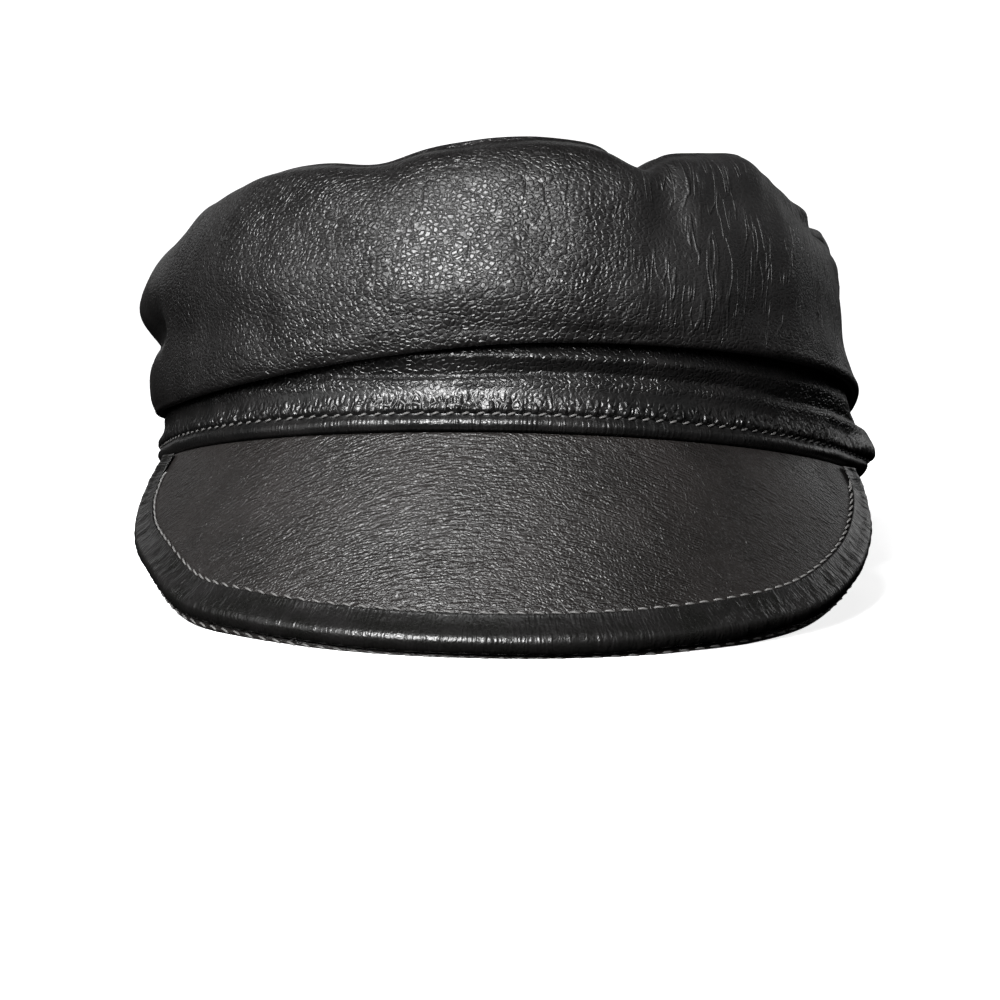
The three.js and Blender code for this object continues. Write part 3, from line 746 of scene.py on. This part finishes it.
# The crown's top, closed at two centres.
angle = columns(TOP_COLUMNS)
upper = top_shape(angle, TOP_OUTSIDE)
lower = top_shape(angle, TOP_INSIDE)
half = upper.shape[1]
upper = upper + sides(upper) * TOP_WALL / 2
lower = lower - sides(lower) * TOP_WALL / 2
section = np.concatenate([upper, lower[:, ::-1]], 1)
count, size = section.shape[:2]
points = around(angle[:, None], section[..., 0], section[..., 1]).reshape(-1, 3)
faces = grid_faces(count, size, True, True).reshape(count, size, 4)
faces = np.delete(faces, half - 1, axis=1).reshape(-1, 4).tolist()
centres = [(0, 0, section[:, half - 1, 1].mean()), (0, 0, section[:, half, 1].mean())]
points = np.concatenate([points, centres])
for i in range(count):
    a = i * size + half
    b = (i + 1) % count * size + half
    faces.append((a - 1, b - 1, count * size))
    faces.append((b, a, count * size + 1))
dress("crown_top", points, faces, points[:, :2], TOP_LOOK, CROWN_LEATHER)

# %% [markdown]
# The band is a padded strip of the same hide, worked harder: a rolled lower edge, a groove with the
# stitches, a swell of padding, a long crease and an upper roll. The stitches pull the padded face
# into a fan of cracks, and rolling packs the edge into fine lines across. More handling has
# polished it, so it is glossier than the crown.

# %% Band leather
STITCH_UP = 4.0
STITCH_PITCH = 3.3
BAND_ZONES = {
    "above the stitches": (3.9, 4.8, 0.0),
    "below the padding": (9.5, 6.5, 0.0),
    "on the rolled edge": (4.0, 3.0, 0.0),
    "pebbled": (9.0, 11.0, 0.25),
}

# Nappa with cracks above the stitches. The look's first number is how strong they are. Each zone
# fades in between two heights in mm, from a least strength to 1.
material, tree, place = new_hide("black_nappa_band")
look = add(tree, "Attribute", {}, "Vector", attribute_name="look")
strong = add(tree, "SeparateXYZ", {0: look}, "X")
up = add(tree, "SeparateXYZ", {0: place}, "Z")
zone = {}
for name, (start, full, least) in BAND_ZONES.items():
    inputs = {"Value": up, "From Min": start * MM, "From Max": full * MM, "To Min": least}
    zone[name] = add(tree, "MapRange", inputs)
inputs = {0: zone["above the stitches"], 1: zone["below the padding"]}
on_face = add(tree, "Math", inputs, operation="MULTIPLY")
fan = add(tree, "Math", {0: on_face, 1: strong}, operation="MULTIPLY")
packed = add(tree, "Math", {0: zone["on the rolled edge"], 1: strong}, operation="MULTIPLY")
cracks = pebbles(tree, place, (1.35, 1.35, 2.1), 0.36, 0.9)
lines = pebbles(tree, place, (0.95, 0.95, 9.0), 0.45, 0.7)
grain = pebbles(tree, place, (1.2, 1.2, 1.0), 0.25, 1.1)
layers = [(cracks, 0.26, fan), (lines, 0.11, packed), (grain, 0.14, zone["pebbled"])]
hide(material, place, 12, ("#0f0f0f", "#151414"), (0.28, 0.35), grain, layers)
BAND_LEATHER = ("band_leather", material)

# %% Band
BAND_COLUMNS = 1120
BAND_PLACES = stations((0, 8, 28), (8, 19, 32))
STITCH_COUNT = round(2 * math.pi * PATTERN_RADIUS / STITCH_PITCH)
BAND_HILLS = table("wide tall seed high", [(9, 5, 1.7, 0.35)])
BAND_PUCKERS = table("wide tall seed high", [(2.4, 7, 4.4, 1.0)])
PUCKERS_LEAN = 0.3
DIMPLES_FAN = 0.1
DIMPLES = (STITCH_UP + 0.8, 1.5, -0.2)
PUCKERS = (6.5, 2.2, 0.3)
CREASE = (13.2, 0.8, -0.5)
PROUD = (17, 1.3, 0.5)
PROUD_AT = 12
PROUD_WIDE = 24
CREASE_LEFT = (-34, -14)
CREASE_ENDS = (92, 62)
HANDLED = (80, 50)
HANDLED_LEAST = 0.15


def band_line(angle):
    """The band's outer face from its lower edge to its top, at each angle."""
    degrees = np.degrees(angle)[:, None]
    up = BAND_FACE["up"][None]
    out = np.where(up > ROLL_FROM, rolled_out(degrees, BAND_FACE["out"]), BAND_FACE["out"] * BAND_WALL)
    for at, width, swell, middle, tall in zip(*SWELLINGS.values()):
        out = out + swell * bell(turn(at, degrees) / width) * bell((up - middle) / tall)
    lean = LEAN_IN * leaning(degrees)
    return np.stack([out - lean * up, up * BAND_HEIGHT - nape_sag(degrees) * (1 - SAG_FADE * up)], -1)


def ridge(up, middle, tall, high):
    """A ridge that runs along the band at a height, or a groove where high is negative."""
    return high * bell((up - middle) / tall)


def band_face(angle):
    """The band's outer face with its stitch dimples, puckers, long crease and proud upper roll."""
    degrees = turn(0, np.degrees(angle))[:, None]
    line = refine(band_line(angle), BAND_PLACES)
    up = line[..., 1] + nape_sag(degrees)
    fan = DIMPLES_FAN * np.sign(degrees) * np.maximum(up - STITCH_UP, 0) ** 2
    dimples = np.cos(angle[:, None] * STITCH_COUNT + fan) * ridge(up, *DIMPLES)
    hills = waves(angle[:, None], up, BAND_HILLS)
    puckers = waves(angle[:, None], up + PUCKERS_LEAN * np.abs(degrees), BAND_PUCKERS)
    wander = 0.5 * np.sin(np.radians(degrees) * 5) + 0.3 * np.sin(np.radians(degrees) * 13)
    crease = ridge(up - wander, *CREASE) * fade(degrees, *CREASE_LEFT) * fade(np.abs(degrees), *CREASE_ENDS)
    proud = bell((degrees - PROUD_AT) / PROUD_WIDE) * ridge(up, *PROUD)
    relief = hills + puckers * ridge(up, *PUCKERS) + proud + dimples + crease
    return line + sides(line) * (relief * smooth(up / 2))[..., None]


# The band: its worked outer face and a plain inner face.
angle = columns(BAND_COLUMNS)
face = band_face(angle)
heights = np.linspace(face[:, -1, 1], face[:, 0, 1], 7, axis=1)
section = np.concatenate([face, np.stack([0 * heights, heights], -1)], 1)
degrees = np.abs(turn(0, np.degrees(angle)))[:, None, None]
look = lerp(HANDLED_LEAST, 1, fade(degrees, *HANDLED)) * np.ones((1, section.shape[1], 2))
ring_piece("band", angle, section, look, BAND_LEATHER)

# %% [markdown]
# The peak is cut from a flat pattern and bent round the head, so it is worked out in that pattern
# first: how far along the seam, how far down the slope, and how far off the surface. The same
# steps then place its rolled binding, its under-leather and all their stitches.

# %% Sizes of the peak
PEAK_DEPTH = 57
PEAK_SEAM_HALF = 110
PEAK_SLOPE = math.radians(61)
PEAK_WALL = 2.2
PEAK_FAN = 0.55
PEAK_SEAM_OUT = 3.0
PEAK_BEND_OUT = 1.6
SEAM_LEVEL = 12
SEAM_END_IN = 8
START_FADE = 16
RAIL_ENDS = 0.05
BINDING_WIDTH = 8.8
BINDING_HEIGHT = 2.3
BINDING_EDGE = 3.3
BINDING_CLEAR = 0.5
UNDER_WALL = 1.2
UNDER_INSET = -0.3
UNDER_START = 4
UNDER_TOP = -PEAK_WALL - 1.7 * GAP
PEAK_RIM = table("along reach", [
    (-1.02, 0), (-1.05, 0.11), (-1.025, 0.3), (-0.937, 0.472), (-0.79, 0.643),
    (-0.635, 0.82), (-0.48, 0.898), (-0.3, 0.961), (-0.1, 0.993), (0.09, 0.987),
    (0.25, 0.953), (0.418, 0.886), (0.58, 0.79), (0.737, 0.622), (0.865, 0.443),
    (0.967, 0.25), (1.005, 0.1), (0.99, 0),
])
rim_points = np.stack([PEAK_RIM["along"] * PEAK_SEAM_HALF, PEAK_RIM["reach"] * PEAK_DEPTH], -1)
rim_dense = refine(rim_points, np.linspace(0, len(rim_points) - 1, 4001))
rim_run = np.concatenate([[0], np.cumsum(np.linalg.norm(np.diff(rim_dense, axis=0), axis=1))])
RIM_LENGTH = rim_run[-1]
print("rim length, mm", round(float(RIM_LENGTH), 1))

# %% From the pattern to the cap


def peak_place(places, lift, start=0.0):
    """Points of the peak on the level cap, from places in its flat pattern and lifts off it."""
    u, d = np.moveaxis(places, -1, 0)
    angle = u / ((HEAD_HALF_WIDTH + HEAD_HALF_LENGTH) / 2 + PEAK_BEND_OUT)
    fan = angle * PEAK_FAN
    level = lift / math.tan(PEAK_SLOPE) * (1 - smooth(d / SEAM_LEVEL))
    reach = d + start * (1 - smooth(d / START_FADE)) + level
    flat = math.cos(PEAK_SLOPE)
    steep = math.sin(PEAK_SLOPE)
    down = np.stack([np.sin(fan) * flat, -np.cos(fan) * flat, -steep + 0 * fan], -1)
    off = np.stack([np.sin(fan) * steep, -np.cos(fan) * steep, flat + 0 * fan], -1)
    foot = around(angle, head_radius(angle) + PEAK_SEAM_OUT, -GAP + 0 * angle)
    return foot + down * reach[..., None] + off * lift[..., None]


def rim_read(run):
    """Points of the rim in the pattern, by mm from its left end."""
    return np.stack([np.interp(run, rim_run, rim_dense[:, k]) for k in (0, 1)], -1)


def rail(share, inset):
    """The rim moved inwards in the pattern. At both ends it moves along the seam."""
    run = share * RIM_LENGTH
    tangent = rim_read(run + 0.8) - rim_read(run - 0.8)
    tangent = tangent / np.linalg.norm(tangent, axis=-1, keepdims=True)
    ends = (1 - smooth(np.minimum(share, 1 - share) / RAIL_ENDS))[..., None]
    inwards = np.stack([tangent[..., 1], -tangent[..., 0]], -1)
    sideways = np.stack([np.where(share < 0.5, 1.0, -1.0), 0 * share], -1)
    inwards = lerp(inwards, sideways, ends)
    inwards = inwards / np.linalg.norm(inwards, axis=-1, keepdims=True)
    moved = rim_read(run) + inwards * np.asarray(inset)[..., None]
    moved[..., 1] = np.maximum(moved[..., 1], 0)
    return moved


print("rim's middle in the pattern", np.round(rim_read(RIM_LENGTH / 2), 1))

# %% [markdown]
# The peak's leather is stretched flat over a stiff board and was plated under heat, so its grain is
# finer and duller than the crown's. Stretching has drawn it into faint wavy lines that arch over
# the peak, about 1 mm apart, with a few light scratches.

# %% Peak leather
# Plated hide with drawn lines, and scratches whose layer is turned inside out.
material, tree, place = new_hide("black_plated_hide_peak")
lines = pebbles(tree, place, (4.8, 1.1, 6.0), 0.32, 1.3)
grain = pebbles(tree, place, (0.9, 0.75, 0.9), 0.28, 1.0)
scratches = pebbles(tree, place, (15.0, 7.0, 9.0), 0.02, 2.4)
uneven = add(tree, "TexNoise", {"Vector": place, "Scale": 1 / (9 * MM), "Detail": 2.0})
shown = add(tree, "MapRange", {"Value": uneven, "From Min": 0.35, "From Max": 0.62, "To Min": 0.25})
layers = [(lines, 0.19, shown), (scratches, -0.08, 0.6), (grain, 0.1, 0.8)]
hide(material, place, 22, ("#141211", "#1b1817"), (0.36, 0.43), grain, layers)
PEAK_LEATHER = ("peak_leather", material)

# %% Peak and its under-leather
ARCH_TALL = 14
ARCH_WIDE = 30
ARCH_AT = -5
PEAK_HILLS = 0.35


def peak_sheet(name, inset, top, wall, start, count, rows, hills, node):
    """A sheet of the peak from its inset rim to the seam, with an upper and a lower face."""
    share = np.linspace(0, 1, count)
    outer = rail(share, np.full(count, inset))
    inner = rail(share, np.full(count, BINDING_WIDTH))
    near = inner[0, 0] + SEAM_END_IN
    far = inner[-1, 0] - SEAM_END_IN
    seam = np.stack([lerp(near, far, share), 0 * share], -1)
    strip = lerp(outer[:, None], inner[:, None], np.linspace(0, 1, 8, endpoint=False)[None, :, None])
    rest = lerp(inner[:, None], seam[:, None], np.linspace(0, 1, rows)[None, :, None])
    upper = np.concatenate([strip, rest], 1)
    lower = upper[:, ::4]
    slow = noise_at(upper[..., 0] / 30, upper[..., 1] / 16, 0.4) * hills * smooth(upper[..., 1] / 6)
    section = [
        peak_place(upper, top + slow, start),
        peak_place(lower, np.full(lower.shape[:2], top - wall), start)[:, ::-1],
    ]
    pattern = np.concatenate([upper, lower[:, ::-1]], 1)
    arch = np.sqrt(1 + ((pattern[..., 0] - ARCH_AT) / ARCH_WIDE) ** 2) - 1
    pattern[..., 1] -= ARCH_TALL * arch
    points = np.concatenate(section, 1)
    faces = tube_faces(count, points.shape[1])
    dress(node, points, faces, pattern, (0, 1), PEAK_LEATHER, name)


peak_sheet("peak_leather", BINDING_EDGE, 0, PEAK_WALL, 0, 300, 69, PEAK_HILLS, "peak")
under = (UNDER_INSET, UNDER_TOP, UNDER_WALL, UNDER_START)
peak_sheet("peak_under_leather", *under, 200, 25, 0.0, "peak_underside")

# %% [markdown]
# The binding is a strip of thin leather rolled over the peak's rim and sewn down along its inner
# edge. Rolling packs it into short wrinkles across the roll, and handling has polished its crest.
# Its section runs along the rim, with the wrinkles raised as geometry and the finest in the finish.

# %% Binding leather
# Glossy nappa packed into short wrinkles.
material, tree, place = new_hide("black_nappa_binding")
lines = pebbles(tree, place, (0.95, 5.0, 3.0), 0.42, 1.0)
grain = pebbles(tree, place, (0.9, 1.1, 0.9), 0.3, 1.0)
layers = [(lines, 0.1, 0.85), (grain, 0.05, 0.6)]
hide(material, place, 9, ("#0f0f0e", "#151414"), (0.26, 0.32), grain, layers)
BINDING_LEATHER = ("binding_leather", material)

# %% Binding
BINDING_SECTION = table("inset lift", [
    (BINDING_WIDTH, BINDING_CLEAR / BINDING_HEIGHT),
    (BINDING_WIDTH, 0.4),
    (7.9, 0.42), (5.4, 0.62), (3.5, 0.9), (2.2, 1.0), (1.1, 0.85), (0.35, 0.42),
    (0, -0.3), (0.5, -0.8), (1.5, -0.96),
    (BINDING_EDGE - BINDING_CLEAR, -0.96),
])
BINDING_COLUMNS = 800
BINDING_PLACES = stations((0, 2, 6), (2, 10, 36), (10, 11, 3))
PACKED_DEPTH = 0.22
CALM_AT = 0.49
CALM_WIDE = 0.15
CALM_LEAST = 0.3
SWAY_DEPTH = 0.3

# The rolled binding, closed at both ends.
share = np.linspace(0, 1, BINDING_COLUMNS)
control = np.stack([BINDING_SECTION["inset"], BINDING_SECTION["lift"] * BINDING_HEIGHT], -1)
skin = refine(control, BINDING_PLACES)
run = (share * RIM_LENGTH)[:, None]
over = np.cumsum(np.linalg.norm(np.diff(skin, axis=0, prepend=skin[:1]), axis=1))[None]
on_roll = smooth((over - 1.2) / 1.5) * smooth((over[0, -1] - over) / 2)
packed = PACKED_DEPTH * lerp(1, CALM_LEAST, bell((share - CALM_AT) / CALM_WIDE))[:, None]
wrinkles = noise_at(run / 1.6, over / 6, 1.2) * packed + noise_at(run / 14, 0.3, 8.2) * SWAY_DEPTH
moved = skin[None] - sides(skin)[None] * (wrinkles * on_roll)[..., None]
back = np.array([(BINDING_EDGE - BINDING_CLEAR, BINDING_CLEAR)])
section = np.concatenate([moved, np.broadcast_to(back, (BINDING_COLUMNS, 1, 2))], 1)
places = rail(np.broadcast_to(share[:, None], section.shape[:2]), section[..., 0])
points = peak_place(places, section[..., 1])
pattern = np.stack(np.broadcast_arrays(run, np.append(over, 0)[None]), -1)
faces = tube_faces(*section.shape[:2])
dress("peak_binding", points, faces, pattern, (0, 1), BINDING_LEATHER)

# %% [markdown]
# The seams are sewn in mid grey polyester thread, bonded and slightly shiny. A stitch is a short
# length that dips into the leather at both ends and lies a little askew, so it is built as a small
# bent tube, and one function sets a whole row. A slow wave in its finish stands for the twist.

# %% Thread
THREAD_RADIUS = 0.28
STITCH_RISE = 0.34
STITCH_RINGS = 9
STITCH_SIDES = 8
WAVE_SIZE = 24

# Bonded thread, whose finish comes and goes along it.
material, tree, place = new_hide("grey_polyester_thread")
inputs = {"Vector": place, "Scale": 1 / (WAVE_SIZE * MM)}
twist = add(tree, "TexWave", inputs, "Fac", bands_direction="DIAGONAL")
hide(material, place, 6, ("#4e4d4c", "#646362"), (0.45, 0.55), twist, [(twist, 0.05, 0.6)])
THREAD = material

# %% A row of stitches


def unit(vectors):
    """Vectors of length one."""
    return vectors / np.linalg.norm(vectors, axis=-1, keepdims=True)


def stitch_row(name, centres, runs, offs, stitch, slot):
    """A row of stitches, each bent up from the leather, of a (length, sink, angle askew)."""
    length, sink, askew = stitch
    offs = unit(offs)
    cross = unit(np.cross(runs, offs))
    ahead = unit(np.cross(offs, cross)) * math.cos(askew) + cross * math.sin(askew)
    across = np.cross(ahead, offs)
    steps = np.linspace(-1, 1, STITCH_RINGS)
    turns = np.linspace(0, 2 * math.pi, STITCH_SIDES, endpoint=False)
    hump = 1 - steps**2
    thick = THREAD_RADIUS * (0.45 + 0.55 * np.sqrt(hump))
    middle = centres[:, None] + ahead[:, None] * (steps * length / 2)[None, :, None]
    middle = middle + offs[:, None] * (hump * STITCH_RISE - sink)[None, :, None]
    ring = np.cos(turns)[:, None] * offs[:, None] + np.sin(turns)[:, None] * across[:, None]
    points = middle[:, :, None] + ring[:, None] * thick[None, :, None, None]
    size = STITCH_RINGS * STITCH_SIDES
    one = tube_faces(STITCH_RINGS, STITCH_SIDES)
    faces = [[v + size * i for v in face] for i in range(len(centres)) for face in one]
    place = np.stack(np.meshgrid(steps * length / 2, turns * THREAD_RADIUS, indexing="ij"), -1)
    pattern = np.broadcast_to(place, (len(centres), *place.shape))
    make_piece(name, points, faces, pattern, (0, 1), slot, THREAD)


# %% [markdown]
# Three rows of stitches: round the band just above its rolled edge, along the peak inside the
# binding, and on the edge of the under-leather. The band's stitches sit in the dimples of its face.

# %% Stitch rows
BAND_STITCH = (2.1, -0.05, math.radians(-16))
RIM_STITCH = (2.4, 0.1, math.radians(12))


def band_stitches():
    """Stitches in the groove round the band."""
    angle = np.arange(STITCH_COUNT) * 2 * math.pi / STITCH_COUNT
    face = band_face(angle)
    wanted = STITCH_UP - nape_sag(np.degrees(angle))
    nearest = np.abs(face[..., 1] - wanted[:, None]).argmin(1)
    place = face[np.arange(STITCH_COUNT), nearest]
    centres = around(angle, head_radius(angle) + place[:, 0], place[:, 1])
    runs = np.roll(centres, -1, axis=0) - np.roll(centres, 1, axis=0)
    away = around(angle, np.ones(STITCH_COUNT), np.zeros(STITCH_COUNT))
    stitch_row("band_stitches", centres, runs, away, BAND_STITCH, "band_leather")


def rim_stitches(name, inset, lift, start, margin):
    """Stitches along the peak's rim, moved inwards and lifted, with a margin free at both ends."""
    count = int((RIM_LENGTH - 2 * margin) / STITCH_PITCH)
    share = np.linspace(margin, RIM_LENGTH - margin, count) / RIM_LENGTH
    at = rail(share, np.full(count, inset))
    ahead = rail(share + 0.4 / RIM_LENGTH, np.full(count, inset))
    raised = np.full(count, lift)
    centres = peak_place(at, raised, start)
    runs = peak_place(ahead, raised, start) - centres
    offs = peak_place(at, raised + 1, start) - centres
    stitch_row(name, centres, runs, offs, RIM_STITCH, "peak_leather")


band_stitches()
rim_stitches("peak_stitches", inset=BINDING_WIDTH + 0.6, lift=0.2, start=0, margin=6)
rim_stitches("under_stitches", inset=-0.1, lift=UNDER_TOP + 0.1, start=UNDER_START, margin=10)

# %% [markdown]
# The floor is pale and plain and runs back into a wall without a corner, so that the cap stands
# alone. A glow in its paint keeps its shadows light. It is hidden from the cap's own reflections,
# as a black leather in a white room would otherwise look grey.

# %% Floor and backdrop
FLOOR_FRONT = -3
FLOOR_BACK = 1.2
FLOOR_BEND = 0.8
WALL_BACK = 2.0
WALL_TOP = 4.0
HALF_WIDE = 4

# A sheet of white paper, flat under the cap and curved up behind it.
bend = np.linspace(0, math.pi / 2, 14)[1:]
floor = np.linspace(FLOOR_FRONT, FLOOR_BACK, 12)
depth = np.concatenate([floor, FLOOR_BACK + FLOOR_BEND * np.sin(bend), [WALL_BACK]])
height = np.concatenate([0 * floor, FLOOR_BEND * (1 - np.cos(bend)), [WALL_TOP]])
mesh = bpy.data.meshes.new("backdrop")
points = [(x, y, z) for y, z in zip(depth, height) for x in (-HALF_WIDE, HALF_WIDE)]
mesh.from_pydata(points, [], grid_faces(len(depth), 2, False, False).tolist())
mesh.shade_smooth()
sheet = new_object("backdrop", mesh)
sheet.visible_diffuse = False
sheet.visible_glossy = False
material, tree = new_tree("white_paper")
inputs = {
    "Base Color": linear("#f4f4f4"),
    "Roughness": 0.9,
    "Specular IOR Level": 0.1,
    "Emission Color": linear("#ffffff"),
    "Emission Strength": 0.82,
}
shader = add(tree, "BsdfPrincipled", inputs)
add(tree, "OutputMaterial", {"Surface": shader})
mesh.materials.append(material)
print("backdrop faces", len(mesh.polygons))

# %% [markdown]
# Plain soft studio light: one soft light high in front, a little to the left, which draws the glow
# on the crown and the bright lines on the rolled edges, a faint one overhead for the peak, and wide
# weak ones in front, at both sides and behind. The white surround is seen by the camera alone.

# %% Light
MIDDLE = (0, 0, 0.06)
LIGHTS = {
    "key": ((-0.37, -0.88, 0.64), (0.36, 0.62), 32),
    "overhead": ((0, -0.35, 1.2), (0.6, 0.4), 0.9),
    "front_fill": ((0.2, -2.0, 0.8), (2, 2), 2),
    "left_fill": ((-1.7, -0.8, 0.7), (1.6, 1.6), 8),
    "right_fill": ((1.5, -0.5, 1.0), (0.8, 0.8), 0.6),
    "right_back": ((1.0, 1.0, 0.5), (0.7, 0.7), 1.7),
    "back_fill": ((-0.3, 1.8, 0.65), (2.6, 0.8), 3.5),
}


def soft_light(name, at, size, power):
    """A rectangular lamp that faces the middle of the cap, of a size in metres and a power in watts."""
    data = bpy.data.lights.new(name, "AREA")
    data.shape = "RECTANGLE"
    data.size = size[0]
    data.size_y = size[1]
    data.energy = power
    light = new_object(name, data)
    light.location = at
    light.rotation_euler = (Vector(MIDDLE) - Vector(at)).to_track_quat("-Z", "Y").to_euler()
    light.visible_camera = False


for name, lamp in LIGHTS.items():
    soft_light(name, *lamp)
world = bpy.data.worlds.new("white_surround")
world.use_nodes = True
world.node_tree.nodes["Background"].inputs["Color"].default_value = linear("#ffffff")
world.node_tree.nodes["Background"].inputs["Strength"].default_value = 1.0
world.cycles_visibility.diffuse = False
world.cycles_visibility.glossy = False
bpy.context.scene.world = world
bpy.context.scene.view_settings.view_transform = "Standard"
